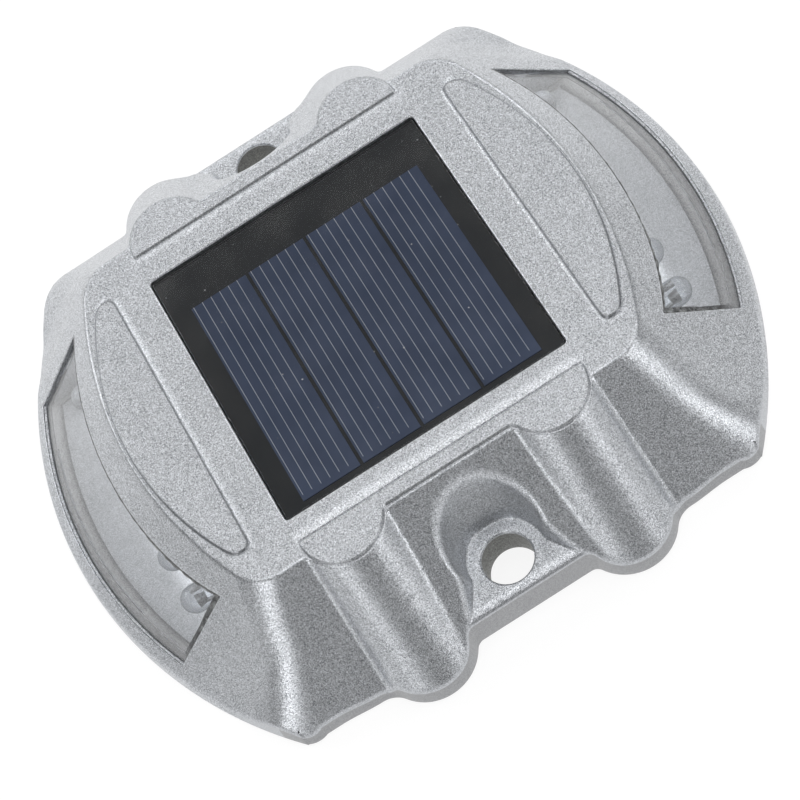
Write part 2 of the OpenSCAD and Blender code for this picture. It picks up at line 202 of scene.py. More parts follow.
def base_outline(step=0.7):
    """closed outline at the road plane, anticlockwise"""
    R, cx, hy, rc = 83.7, -11.3, 59.7, 4.6
    k = hy - rc
    xc = cx + math.sqrt((R - rc) ** 2 - k * k)
    a_side = math.atan2(k, xc - cx)
    rf, rg, lr, ly = 5.0, 2.0, 9.6, 56.2
    xf = LX + math.sqrt((lr + rf) ** 2 - (hy + rf - ly) ** 2)
    xg = LX - math.sqrt((lr + rg) ** 2 - (60.0 + rg - ly) ** 2)
    af = math.atan2(hy + rf - ly, xf - LX)
    ag = math.atan2(60.0 + rg - ly, xg - LX)
    q = [
        arc((cx, 0), R, 0, a_side, step * 1.4),
        arc((xc, k), rc, a_side, math.pi / 2, step * 0.6),
        line((xc, hy), (xf, hy), step),
        arc((xf, hy + rf), rf, -math.pi / 2, af - math.pi, step * 0.6),
        arc((LX, ly), lr, af, ag, step * 0.7),
        arc((xg, 60.0 + rg), rg, ag - math.pi, -math.pi / 2, step * 0.4),
        line((xg, 60.0), (0, 60.0), step),
    ]
    # the corners are pushed out on their sides and pulled in on their fronts
    for i, P in enumerate(q[:3]):
        if i == 0:
            d = swell(P[:, 1])
            n = (P - [cx, 0]) / R
        elif i == 1:
            d = np.linspace(swell(k), -0.55, len(P))
            n = (P - [xc, k]) / rc
        else:
            d = -0.55 * sstep(xf, 42.0, P[:, 0])
            n = np.tile([0.0, 1.0], (len(P), 1))
        q[i] = P + n * d[:, None]
    Q = np.concatenate(q)
    left = (Q * [-1, 1])[::-1]
    top = np.concatenate([Q, left])
    low = (top * [1, -1])[::-1]
    return clean(np.concatenate([top, low]))


def rrect(l, w, r, step=0.8, cy=0.0):
    x, y = l / 2 - r, w / 2 - r
    pts = []
    for (sx, sy, a) in ((1, 1, 0), (-1, 1, 90), (-1, -1, 180), (1, -1, 270)):
        pts.append(arc((sx * x, sy * y), r, math.radians(a), math.radians(a + 90), min(step, r / 4)))
    Q = np.concatenate(pts)
    out = []
    for i in range(len(Q)):
        p, q = Q[i], Q[(i + 1) % len(Q)]
        out.append(line(p, q, step)[:-1])
    return clean(np.concatenate(out)) + [0, cy]


def circle(c, r, n=72):
    a = np.linspace(0, 2 * math.pi, n, endpoint=False)
    return np.stack([c[0] + r * np.cos(a), c[1] + r * np.sin(a)], 1)


def window_loop(sx, step=0.5):
    y = np.linspace(-WIN, WIN, int(2 * WIN / step) + 1) + PAN_OFF
    roof = np.stack([side_x(roof_z(y), y), y], 1)
    lip = np.stack([side_x(LIP + 0.35, y), y], 1)[::-1]
    far = line(roof[-1], lip[0], step)[1:-1]
    near = line(lip[-1], roof[0], step)[1:-1]
    P = np.concatenate([roof, far, lip, near])
    tag = np.array(["roof"] * len(roof) + ["far"] * len(far) + ["lip"] * len(lip) + ["near"] * len(near))
    return P * [sx, 1], tag


def roof_z(y):
    """height of the upper edge of a window opening"""
    return ROOF + 0.9 * (np.abs(np.asarray(y, float) - PAN_OFF) / WIN) ** 4


def inside(P, x, y):
    """even-odd test of points against a closed curve"""
    r = np.zeros(len(x), bool)
    x0, y0 = P[:, 0], P[:, 1]
    x1, y1 = np.roll(x0, -1), np.roll(y0, -1)
    for a, b, c, d in zip(x0, y0, x1, y1):
        if b == d:
            continue
        cross = (b > y) != (d > y)
        xi = a + (y - b) / (d - b) * (c - a)
        r ^= cross & (x < xi)
    return r


# ------------------------------------------------------------------ mesh building
class Shell:
    """a mesh in millimetres being put together"""

    def __init__(self):
        self.v, self.n, self.a, self.f, self.m, self.count = [], [], [], [], [], 0

    def verts(self, P, normals=None, soft=0.0):
        P = np.asarray(P, float).reshape(-1, 3)
        self.v.append(P)
        self.n.append(np.zeros_like(P) if normals is None else np.asarray(normals, float))
        self.a.append(np.broadcast_to(np.asarray(soft, float), (len(P),)).copy())
        i = np.arange(self.count, self.count + len(P))
        self.count += len(P)
        return i

    def faces(self, F, mat=0):
        for f in F:
            self.f.append(tuple(int(i) for i in f))
            self.m.append(mat)

    def strip(self, A, B, closed=True, flip=False, mat=0):
        n = len(A)
        for i in range(n if closed else n - 1):
            j = (i + 1) % n
            q = (A[i], A[j], B[j], B[i])
            self.f.append(tuple(int(k) for k in (q[::-1] if flip else q)))
            self.m.append(mat)

    def make(self, name, mats, body="stud", sharp=35, custom=False, slot=None):
        V = np.concatenate(self.v) * MM
        me = bpy.data.meshes.new(name)
        me.from_pydata(V.tolist(), [], self.f)
        for m in mats:
            me.materials.append(m)
        me.polygons.foreach_set("material_index", np.array(self.m, np.int32))
        me.polygons.foreach_set("use_smooth", np.ones(len(self.f), bool))
        at = me.attributes.new("soft", "FLOAT", "POINT")
        at.data.foreach_set("value", np.concatenate(self.a).astype(np.float32))
        if custom:
            # painted shade: darker lines along the pad edges and the side creases, where the grooves and creases fall
            # into shade
            P = V / MM
            up = P[:, 2] > 24.5
            pads = np.exp(-(((pad_d(P[:, 0], P[:, 1]) - 0.08) / 0.26) ** 2))
            pads *= 1.0 - 0.45 * sstep(35.0, 36.0, np.abs(P[:, 1])) * (np.abs(P[:, 0]) < 33.0)
            f1 = np.hypot(np.abs(P[:, 0]) + 36.0, P[:, 1]) - 86.0
            side = 0.5 * np.exp(-((f1 / 0.5) ** 2)) * sstep(40.0, 34.0, np.abs(P[:, 1]))
            # the edge attribute carries this painted shade mask
            at = me.attributes.new("edge", "FLOAT", "POINT")
            at.data.foreach_set("value", (np.maximum(pads, side) * up).astype(np.float32))
        me.update()
        if sharp is not None:
            me.set_sharp_from_angle(angle=math.radians(sharp))
        if custom:
            me.normals_split_custom_set_from_vertices(np.concatenate(self.n).tolist())
        me.validate()
        o = bpy.data.objects.new(name, me)
        bpy.context.scene.collection.objects.link(o)
        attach(o, body)
        return o


def flat_region(sh, loops, z, extra=None, up=True, mat=0, soft=0.0):
    """fills the area between closed curves (outer first) at height z"""
    pts, edges, start = [], [], 0
    for P in loops:
        n = len(P)
        pts += [Vector(p) for p in P]
        edges += [(start + i, start + (i + 1) % n) for i in range(n)]
        start += n
    if extra is not None and len(extra):
        pts += [Vector(p) for p in extra]
    vc, _, fc, *_ = delaunay_2d_cdt(pts, edges, [], 0, 1e-5, False)
    C = np.array([[v.x, v.y] for v in vc])
    T = np.array([f for f in fc])
    m = C[T].mean(1)
    ok = inside(loops[0], m[:, 0], m[:, 1])
    for P in loops[1:]:
        ok &= ~inside(P, m[:, 0], m[:, 1])
    T = T[ok]
    a, b, c = C[T[:, 0]], C[T[:, 1]], C[T[:, 2]]
    cr = (b[:, 0] - a[:, 0]) * (c[:, 1] - a[:, 1]) - (b[:, 1] - a[:, 1]) * (c[:, 0] - a[:, 0])
    T[cr < 0] = T[cr < 0][:, ::-1]
    if not up:
        T = T[:, ::-1]
    i = sh.verts(np.column_stack([C, np.full(len(C), z)]), soft=soft)
    sh.faces(i[T], mat)


# ------------------------------------------------------------------ materials
def new_mat(name):
    m = bpy.data.materials.new(name)
    m.use_nodes = True
    nt = m.node_tree
    nt.nodes.clear()
    return m, nt


class N:
    """small helper for node trees"""

    def __init__(self, nt):
        self.nt = nt

    def node(self, kind, **kw):
        n = self.nt.nodes.new(kind)
        for k, v in kw.items():
            setattr(n, k, v)
        return n

    def link(self, a, b):
        self.nt.links.new(a, b)

    def put(self, n, key, v):
        s = n.inputs[key]
        if isinstance(v, bpy.types.NodeSocket):
            self.link(v, s)
        else:
            s.default_value = v

    def coords(self, scale=1000.0):
        t = self.node("ShaderNodeTexCoord")
        m = self.node("ShaderNodeMapping")
        m.inputs["Scale"].default_value = (scale, scale, scale)
        self.link(t.outputs["Object"], m.inputs["Vector"])
        return m.outputs["Vector"]

    def noise(self, vec, scale, detail=2.0, rough=0.5, color=False):
        n = self.node("ShaderNodeTexNoise")
        self.put(n, "Vector", vec)
        self.put(n, "Scale", scale)
        self.put(n, "Detail", detail)
        self.put(n, "Roughness", rough)
        return n.outputs["Color" if color else "Fac"]

    def voronoi(self, vec, scale, out="Distance", feature="F1"):
        n = self.node("ShaderNodeTexVoronoi", feature=feature)
        self.put(n, "Vector", vec)
        self.put(n, "Scale", scale)
        return n.outputs[out]

    def math(self, op, a, b=0.0, c=None, clamp=False):
        n = self.node("ShaderNodeMath", operation=op, use_clamp=clamp)
        self.put(n, 0, a)
        self.put(n, 1, b)
        if c is not None:
            self.put(n, 2, c)
        return n.outputs[0]

    def vmath(self, op, a, b=None, scale=None):
        n = self.node("ShaderNodeVectorMath", operation=op)
        self.put(n, 0, a)
        if b is not None:
            self.put(n, 1, b)
        if scale is not None:
            self.put(n, "Scale", scale)
        return n.outputs[0] if op not in ("LENGTH", "DOT_PRODUCT") else n.outputs["Value"]

    def ramp(self, fac, stops):
        n = self.node("ShaderNodeValToRGB")
        cr = n.color_ramp
        while len(cr.elements) < len(stops):
            cr.elements.new(0.5)
        for e, (p, c) in zip(cr.elements, stops):
            e.position = p
            e.color = (*c, 1) if len(c) == 3 else c
        self.put(n, "Fac", fac)
        return n.outputs["Color"]

    def remap(self, v, a, b, c, d):
        n = self.node("ShaderNodeMapRange")
        self.put(n, "Value", v)
        for k, x in zip(("From Min", "From Max", "To Min", "To Max"), (a, b, c, d)):
            self.put(n, k, x)
        return n.outputs[0]

    def mix(self, fac, a, b):
        n = self.node("ShaderNodeMix", data_type="RGBA")
        self.put(n, 0, fac)
        for key, v in (("A", a), ("B", b)):
            s = [i for i in n.inputs if i.name == key and i.type == "RGBA"][0]
            if isinstance(v, bpy.types.NodeSocket):
                self.link(v, s)
            else:
                s.default_value = (*v, 1) if len(v) == 3 else v
        return [o for o in n.outputs if o.type == "RGBA"][0]

    def bump(self, h, strength=0.5, distance=0.05, normal=None):
        n = self.node("ShaderNodeBump")
        self.put(n, "Height", h)
        self.put(n, "Strength", strength)
        self.put(n, "Distance", distance * MM)
        if normal is not None:
            self.link(normal, n.inputs["Normal"])
        return n.outputs["Normal"]

    def principled(self, **kw):
        n = self.node("ShaderNodeBsdfPrincipled")
        for k, v in kw.items():
            self.put(n, k.replace("_", " "), (*v, 1) if isinstance(v, tuple) and len(v) == 3 and "Color" in k else v)
        return n

    def out(self, shader):
        o = self.node("ShaderNodeOutputMaterial")
        self.link(shader, o.inputs["Surface"])


def flake_normal(g, vec, scale, amount):
    """tilts the normal by a random amount in every grain"""
    c = g.voronoi(vec, scale, "Color")
    c = g.vmath("SUBTRACT", c, (0.5, 0.5, 0.5))
    n = g.node("ShaderNodeVectorMath", operation="SCALE")
    g.link(c, n.inputs[0])
    g.put(n, "Scale", amount)
    geo = g.node("ShaderNodeNewGeometry")
    s = g.vmath("ADD", geo.outputs["Normal"], n.outputs[0])
    return g.vmath("NORMALIZE", s)


def paint(name, dark, light, grain=8.4, tilt=0.13, rough=0.355, metallic=0.75, bump=0.1, contrast=1.02):
    """silver metallic paint over a fine sand texture, smoother where the soft attribute says so, and darkened as
    painted shade where the edge attribute says so
    """
    m, nt = new_mat(name)
    g = N(nt)
    v = g.coords()
    a = g.node("ShaderNodeAttribute", attribute_name="soft")
    keep = g.math("SUBTRACT", 1.0, a.outputs["Fac"], clamp=True)
    keep = g.math("MULTIPLY_ADD", keep, 0.8, 0.2)
    vo = g.node("ShaderNodeTexVoronoi", feature="F1")
    g.put(vo, "Vector", v)
    g.put(vo, "Scale", grain)
    sep = g.node("ShaderNodeSeparateColor")
    g.link(vo.outputs["Color"], sep.inputs[0])
    fine = g.noise(v, grain * 0.9, 1.0, 0.5)
    wide = g.noise(v, 0.16, 3.0, 0.55)
    spot = g.math("ADD", g.math("SUBTRACT", sep.outputs[0], 0.5), g.math("MULTIPLY", g.math("SUBTRACT", fine, 0.5), 1.2))
    glint = g.math("MULTIPLY", g.math("GREATER_THAN", sep.outputs[1], 0.94), 0.5)
    spot = g.math("ADD", g.math("MULTIPLY", spot, contrast), glint)
    tone = g.math("MULTIPLY_ADD", spot, keep, g.math("MULTIPLY_ADD", wide, 0.12, 0.43))
    col = g.ramp(tone, [(0.0, dark), (1.0, light)])
    # painted shade: the edge attribute darkens the colour along the pad edges and side creases
    painted_shade_line = g.node("ShaderNodeAttribute", attribute_name="edge")
    col = g.mix(g.math("MULTIPLY", painted_shade_line.outputs["Fac"], 0.6), col, tuple(c * 0.35 for c in dark))
    nrm = flake_normal(g, v, grain, g.math("MULTIPLY", keep, tilt))
    nb = g.bump(g.math("ADD", g.math("MULTIPLY", vo.outputs["Distance"], 0.6), fine), bump, 0.08, nrm)
    p = g.principled(Base_Color=col, Metallic=metallic, Normal=nb)
    g.link(g.remap(sep.outputs[2], 0.0, 1.0, rough - 0.05, rough + 0.07), p.inputs["Roughness"])
    g.out(p.outputs[0])
    return m


def plain(name, color, rough=0.5, metallic=0.0, vary=0.25, scale=1.2, bump=0.25, dist=0.03, spec=0.5, coat=0.0):
    """a moulded or metal surface with slight mottling and grain"""
    m, nt = new_mat(name)
    g = N(nt)
    v = g.coords()
    n1 = g.noise(v, scale, 4.0, 0.6)
    n2 = g.noise(v, scale * 9, 2.0, 0.5)
    t = g.math("MULTIPLY_ADD", n2, 0.4, g.math("MULTIPLY", n1, 0.6))
    lo = tuple(c * (1 - vary) for c in color)
    hi = tuple(min(1.0, c * (1 + vary) + 0.004) for c in color)
    col = g.ramp(t, [(0.3, lo), (0.7, hi)])
    nb = g.bump(n2, bump, dist)
    p = g.principled(Base_Color=col, Metallic=metallic, Normal=nb)
    p.inputs["Specular IOR Level"].default_value = spec
    p.inputs["Coat Weight"].default_value = coat
    g.link(g.remap(n1, 0.3, 0.7, max(0.02, rough - 0.07), min(1.0, rough + 0.07)), p.inputs["Roughness"])
    g.out(p.outputs[0])
    return m


def painted_shade_streaks(name, dark, light):
    """dark base colour as painted shade, with pale drawn-out streaks as painted reflections and a wet gloss"""
    m, nt = new_mat(name)
    g = N(nt)
    t = g.node("ShaderNodeTexCoord")
    mp = g.node("ShaderNodeMapping")
    mp.inputs["Scale"].default_value = (350.0, 900.0, 1500.0)
    mp.inputs["Rotation"].default_value = (0.0, 0.6, 0.5)
    g.link(t.outputs["Object"], mp.inputs["Vector"])
    n1 = g.noise(mp.outputs["Vector"], 0.9, 3.0, 0.55)
    n2 = g.noise(g.coords(), 3.0, 2.0, 0.5)
    k = g.math("MULTIPLY_ADD", n2, 0.3, g.math("MULTIPLY", n1, 0.7))
    col = g.ramp(k, [(0.42, dark), (0.56, tuple((a + b) / 3 for a, b in zip(dark, light))), (0.64, light)])
    p = g.principled(Base_Color=col, Normal=g.bump(n1, 0.4, 0.1))
    p.inputs["Coat Weight"].default_value = 0.6
    g.link(g.remap(n1, 0.3, 0.7, 0.18, 0.4), p.inputs["Roughness"])
    g.out(p.outputs[0])
    return m


def clear(name, tint=(0.965, 0.968, 0.972), rough=0.02, ior=1.49, haze=0.0):
    """clear moulding that lets lamp light through"""
    m, nt = new_mat(name)
    g = N(nt)
    v = g.coords()
    n1 = g.noise(v, 0.35, 3.0, 0.5)
    col = g.ramp(n1, [(0.3, tuple(c * 0.97 for c in tint)), (0.7, tint)])
    gl = g.node("ShaderNodeBsdfGlass")
    g.link(col, gl.inputs["Color"])
    gl.inputs["IOR"].default_value = ior
    g.link(g.remap(g.noise(v, 1.1, 3.0, 0.5), 0.3, 0.7, rough, rough + 0.03), gl.inputs["Roughness"])
    gl_out = gl.outputs[0]
    g.link(g.bump(g.noise(v, 0.5, 2.0, 0.5), 0.12, 0.05), gl.inputs["Normal"])
    if haze:
        df = g.node("ShaderNodeBsdfDiffuse")
        df.inputs["Color"].default_value = (0.8, 0.82, 0.83, 1)
        mx = g.node("ShaderNodeMixShader")
        mx.inputs[0].default_value = haze
        g.link(gl_out, mx.inputs[1])
        g.link(df.outputs[0], mx.inputs[2])
        gl_out = mx.outputs[0]
    tr = g.node("ShaderNodeBsdfTransparent")
    g.link(col, tr.inputs["Color"])
    lp = g.node("ShaderNodeLightPath")
    mx = g.node("ShaderNodeMixShader")
    g.link(lp.outputs["Is Shadow Ray"], mx.inputs[0])
    g.link(gl_out, mx.inputs[1])
    g.link(tr.outputs[0], mx.inputs[2])
    g.out(mx.outputs[0])
    return m


SILVER = paint("housing_silver", (0.156, 0.167, 0.181), (0.83, 0.85, 0.885))
# painted shade: a darker copy of the silver paint for the front and back skirts
SHADED_SKIRT_PAINT = paint("housing_skirt_painted_shade", (0.1, 0.103, 0.108), (0.56, 0.565, 0.58))
# painted shade: a dark copy of the silver paint for the lower walls of the bolt holes
BORE_PAINTED_SHADE = paint("housing_bore_painted_shade", (0.035, 0.036, 0.034), (0.30, 0.305, 0.29), rough=0.5)
LENS = clear("lens_clear")
# painted shade: the sealant bed gets a darker copy of the silver paint
SHADED_SEAL = paint("sealant_grey", (0.11, 0.112, 0.116), (0.42, 0.424, 0.432), rough=0.5, metallic=0.3, tilt=0.15)
# painted shade: dark colour with pale streaks as painted reflections, for the near lens ends and the gap under the
# roof edge
PAINTED_SHADE_SEALANT = painted_shade_streaks("painted_shade_dark", (0.02, 0.021, 0.022), (0.24, 0.25, 0.25))

# ------------------------------------------------------------------ the casting
sh = Shell()
B = base_outline()
nB = out_dirs(B)
T = B - nB * 0.4

RIN = [0.0, 0.03, 0.09, 0.18, 0.3, 0.45, 0.62, 0.8]


def drop(d, r):
    d = np.minimum(d, r)
    return r - np.sqrt(np.maximum(r * r - (r - d) ** 2, 0))


def rim(P, dirs, r, offs, soft=None, limit=None):
    """rows of points from the edge of an opening or outline into the skin; returns the list of index rows, edge first"""
    rows = []
    for d in offs:
        Q = P + dirs * d
        h = height(Q[:, 0], Q[:, 1]) - drop(d, r)
        nrm = normals_at(Q[:, 0], Q[:, 1]) if d >= r else None
        s = 0.0 if soft is None else soft(d)
        rows.append(sh.verts(np.column_stack([Q, h]), nrm, s))
    return rows, P + dirs * offs[-1]


loops = []      # (2-D curve, global vertex indices) that bound the skin

# outer edge and skirt
FRONT = 0.25 + 0.6 * sstep(40.0, 54.0, np.abs(B[:, 1]))
rows, ring = rim(T, -nB, 0.55, RIN, soft=lambda d: FRONT * (1.0 - 0.9 * min(d / 0.6, 1)))
loops.append((ring, rows[-1]))
for a, b in zip(rows[:-1], rows[1:]):
    sh.strip(a, b)
zt = np.concatenate(sh.v)[rows[0], 2]
prev = rows[0]
first_face = len(sh.f)
for f, inset in ((0.66, 0.27), (0.33, 0.13)):
    k = sh.verts(np.column_stack([B - nB * inset, 0.35 + (zt - 0.35) * f]), soft=FRONT)
    sh.strip(k, prev)
    prev = k
for z, inset in ((0.35, 0.0), (0.15, 0.04), (0.04, 0.13), (0.0, 0.28)):
    k = sh.verts(np.column_stack([B - nB * inset, np.full(len(B), z)]), soft=FRONT)
    sh.strip(k, prev)
    prev = k
allv = np.concatenate(sh.v)
# the front and back skirt faces take the darker painted-shade copy of the silver paint
for q in range(first_face, len(sh.f)):
    if abs(allv[list(sh.f[q]), 1].mean()) > 55.0:
        sh.m[q] = 2
foot_loop = B - nB * 0.28

# panel opening
PW = rrect(60.4, 60.4, 0.9, 0.7, PAN_OFF)
nP = out_dirs(PW)
rows, ring = rim(PW, nP, 0.32, [0.0, 0.03, 0.08, 0.16, 0.26, 0.4, 0.6])
loops.append((ring, rows[-1]))
for a, b in zip(rows[:-1], rows[1:]):
    sh.strip(a, b, flip=True)
k = sh.verts(np.column_stack([PW, np.full(len(PW), 23.05)]))
sh.strip(rows[0], k, flip=True)
flat_region(sh, [PW], 23.05)

# bolt holes
for sy in (-1, 1):
    C = circle((0, sy * BOLT_Y), 5.0, 96)
    nC = out_dirs(C)
    rows, ring = rim(C, nC, 0.4, [0.0, 0.03, 0.09, 0.18, 0.3, 0.42, 0.6])
    loops.append((ring, rows[-1]))
    for a, b in zip(rows[:-1], rows[1:]):
        sh.strip(a, b, flip=True)
    prev = rows[0]
    # the lower part of each bolt hole wall takes the dark painted-shade paint
    for z in (7.4, 5.5, 3.0, 0.25):
        k = sh.verts(np.column_stack([C, np.full(len(C), z)]))
        sh.strip(prev, k, flip=True, mat=0 if z > 7 else 1)
        prev = k
    k = sh.verts(np.column_stack([C + nC * 0.25, np.zeros(len(C))]))
    sh.strip(prev, k, flip=True)

# window openings
for sx in (-1, 1):
    P, tag = window_loop(sx)
    nW = out_dirs(P)
    rows, ring = rim(P, nW, 0.35, [0.0, 0.03, 0.09, 0.18, 0.28, 0.4, 0.6])
    loops.append((ring, rows[-1]))
    fl = sx > 0
    ccw = area(P) > 0
    for a, b in zip(rows[:-1], rows[1:]):
        sh.strip(a, b, flip=ccw)
    Z = np.concatenate(sh.v)[rows[0]]
    # ledge of the lip, the wall under it and the painted floor
    L = rows[0][tag == "lip"]
    PL = Z[tag == "lip"]
    y = PL[:, 1]
    xi = arc_x(83.8, 68.8, y)
    prev, o = L, []
    for dx, dz in ((0.45, 0.0), (0.3, 0.0), (0.1, -0.05), (0.02, -0.14), (0.0, -0.3)):
        o.append(sh.verts(np.column_stack([sx * (xi + dx), y, PL[:, 2] + dz])))
    o.append(sh.verts(np.column_stack([sx * (xi - 0.05), y, np.full(len(y), FLOOR + 0.3)]), soft=0.6))
    o.append(sh.verts(np.column_stack([sx * (xi - 0.35), y, np.full(len(y), FLOOR)]), soft=0.6))
    o.append(sh.verts(np.column_stack([sx * (xi * 0.5 + 24.0), y, np.full(len(y), FLOOR)]), soft=0.6))
    o.append(sh.verts(np.column_stack([np.full(len(y), sx * BAY_X), y, np.full(len(y), FLOOR)]), soft=0.6))
    o.append(sh.verts(np.column_stack([np.full(len(y), sx * BAY_X), y, np.full(len(y), ROOF - 0.35)]), soft=0.6))
    for i, b in enumerate(o):
        sh.strip(prev, b, closed=False, flip=(sx < 0))
        prev = b
    # roof of the bay
    Rf = rows[0][tag == "roof"]
    PR = Z[tag == "roof"]
    k = sh.verts(np.column_stack([np.full(len(PR), sx * BAY_X), PR[:, 1], PR[:, 2]]))
    sh.strip(Rf, k, closed=False, flip=(sx < 0))
    # end walls
    for t, ys in (("far", WIN + PAN_OFF), ("near", PAN_OFF - WIN)):
        E = Z[tag == t]
        E = E[np.argsort(np.abs(E[:, 0]))]
        r0 = PR[np.argmax(PR[:, 1] * ys)]
        l0 = PL[np.argmax(PL[:, 1] * ys)]
        xs_ = np.concatenate([[sx * BAY_X], [r0[0]], E[:, 0], [l0[0]]])
        zs_ = np.concatenate([[r0[2]], [r0[2]], E[:, 2], [l0[2]]])
        a = sh.verts(np.column_stack([xs_, np.full(len(xs_), ys), zs_]))
        c = sh.verts(np.column_stack([xs_, np.full(len(xs_), ys), np.full(len(xs_), FLOOR)]))
        sh.strip(a, c, closed=False, flip=(sx * ys < 0), mat=0)

# the skin: a lattice that is fine where the surface bends
step = 0.3
gx = np.arange(-246, 247) * 0.3
gy = np.arange(-222, 223) * 0.3
X, Y = np.meshgrid(gx, gy, indexing="ij")
Hb = body_h(X.ravel(), Y.ravel()).reshape(X.shape)
c = np.zeros_like(Hb)
c[1:-1, 1:-1] = (
    np.abs(Hb[2:, 1:-1] + Hb[:-2, 1:-1] - 2 * Hb[1:-1, 1:-1])
    + np.abs(Hb[1:-1, 2:] + Hb[1:-1, :-2] - 2 * Hb[1:-1, 1:-1])
    + 0.5 * np.abs(Hb[2:, 2:] + Hb[:-2, :-2] - Hb[2:, :-2] - Hb[:-2, 2:])
) / step**2
for _ in range(2):
    m = c.copy()
    for a, b in ((1, 0), (-1, 0), (0, 1), (0, -1)):
        m = np.maximum(m, np.roll(c, (a, b), (0, 1)))
    c = m
need = np.sqrt(8 * 0.007 / np.maximum(c, 1e-6))
ix, iy = np.meshgrid(np.arange(len(gx)), np.arange(len(gy)), indexing="ij")
keep = np.zeros(X.shape, bool)
for lev in range(4):
    s = 2**lev
    keep |= (ix % s == 0) & (iy % s == 0) & (need < step * s * 2)
keep |= (ix % 8 == 0) & (iy % 8 == 0)
gxk, gyk = X[keep], Y[keep]
d = pad_d(gxk, gyk)
ok = (np.abs(d - 0.08) > 0.5) & inside(loops[0][0], gxk, gyk)
for P, _ in loops[1:]:
    near = (gxk > P[:, 0].min()) & (gxk < P[:, 0].max()) & (gyk > P[:, 1].min()) & (gyk < P[:, 1].max())
    q = np.zeros(len(gxk), bool)
    q[near] = inside(P, gxk[near], gyk[near])
    ok &= ~q
gxk, gyk = gxk[ok], gyk[ok]

# rows of points along the edges of the raised pads
seeds = []
for sx in (-1, 1):
    yy = np.arange(-31, 31.01, 0.45)
    seeds.append(np.stack([np.full(len(yy), sx * 38.0), yy], 1))
    seeds.append(np.stack([sx * (np.sqrt(64.6**2 - yy**2) - 15.2), yy], 1))
    for sy in (-1, 1):
        xx = np.arange(37.9, 41.5, 0.3)
        seeds.append(np.stack([sx * xx, np.full(len(xx), sy * 31.2)], 1))
for sy in (-1, 1):
    xx = np.arange(-30.2, 30.21, 0.45)
    seeds.append(np.stack([xx, np.full(len(xx), sy * (36.3 if sy > 0 else 36.0))], 1))
    xx = np.arange(-14, 14.01, 0.45)
    seeds.append(np.stack([xx, np.full(len(xx), sy * 38.85)], 1))
    for sx in (-1, 1):
        a = np.linspace(0, math.pi, 60)
        seeds.append(np.stack([sx * LX + 8.3 * np.cos(a), sy * (LY0 + 8.3 * np.sin(a))], 1))
seeds = np.concatenate(seeds)
rowpts = []
for target in (-0.45, -0.26, -0.12, 0.0, 0.12, 0.24, 0.36, 0.55):
    p = seeds.copy()
    for _ in range(8):
        e = 0.02
        f = pad_d(p[:, 0], p[:, 1])
        fx = (pad_d(p[:, 0] + e, p[:, 1]) - pad_d(p[:, 0] - e, p[:, 1])) / (2 * e)
        fy = (pad_d(p[:, 0], p[:, 1] + e) - pad_d(p[:, 0], p[:, 1] - e)) / (2 * e)
        g2 = np.maximum(fx * fx + fy * fy, 0.25)
        p = p - np.stack([fx, fy], 1) * ((f - target) / g2)[:, None]
    f = pad_d(p[:, 0], p[:, 1])
    rowpts.append(p[np.abs(f - target) < 0.02])
rowpts = np.concatenate(rowpts)
okr = inside(loops[0][0], rowpts[:, 0], rowpts[:, 1])
rowpts = rowpts[okr]

allp = np.concatenate([rowpts, np.stack([gxk, gyk], 1)])
tree = KDTree(sum(len(P) for P, _ in loops) * 4)
n = 0
for P, _ in loops:
    Q = np.roll(P, -1, 0)
    for t in (0, 0.25, 0.5, 0.75):
        for p in P * (1 - t) + Q * t:
            tree.insert((p[0], p[1], 0), n)
            n += 1
tree.balance()
far = np.array([tree.find((p[0], p[1], 0))[2] > 0.16 for p in allp])
allp = allp[far]
# thin out points that crowd each other
grid, kept = {}, []
R2 = 0.085**2
for i, p in enumerate(allp):
    cx, cy = int(p[0] // 0.1), int(p[1] // 0.1)
    hit = False
    for ax_ in (-1, 0, 1):
        for ay_ in (-1, 0, 1):
            for q in grid.get((cx + ax_, cy + ay_), ()):
                if (q[0] - p[0]) ** 2 + (q[1] - p[1]) ** 2 < R2:
                    hit = True
                    break
            if hit:
                break
        if hit:
            break
    if not hit:
        grid.setdefault((cx, cy), []).append(p)
        kept.append(i)
allp = allp[kept]

pts, glob, edges, start = [], [], [], 0
for P, idx in loops:
    pts += [Vector(p) for p in P]
    glob += list(idx)
    edges += [(start + i, start + (i + 1) % len(P)) for i in range(len(P))]
    start += len(P)
hz = height(allp[:, 0], allp[:, 1])
gi = sh.verts(np.column_stack([allp, hz]), normals_at(allp[:, 0], allp[:, 1]))
pts += [Vector(p) for p in allp]
glob += list(gi)
vc, _, fc, ov, _, _ = delaunay_2d_cdt(pts, edges, [], 0, 1e-5, True)
C = np.array([[v.x, v.y] for v in vc])
first = np.array([o[0] if len(o) else -1 for o in ov])
Tri = np.array(list(fc))
m = C[Tri].mean(1)
ok = inside(loops[0][0], m[:, 0], m[:, 1])
for P, _ in loops[1:]:
    ok &= ~inside(P, m[:, 0], m[:, 1])
Tri = Tri[ok]
a, b, c3 = C[Tri[:, 0]], C[Tri[:, 1]], C[Tri[:, 2]]
cr = (b[:, 0] - a[:, 0]) * (c3[:, 1] - a[:, 1]) - (b[:, 1] - a[:, 1]) * (c3[:, 0] - a[:, 0])
Tri[cr < 0] = Tri[cr < 0][:, ::-1]
glob = np.array(glob)
src = first[Tri]
assert (src >= 0).all()
sh.faces(glob[src])

# underside of the casting
def coring():
    out = []
    for sx in (-1, 1):
        for sy in (-1, 1):
            out.append((circle((sx * LX, sy * 51.5), 3.9, 48), 10.0))
            out.append((circle((sx * 53.6, sy * 39.0), 3.8, 40), 5.0))
    return out


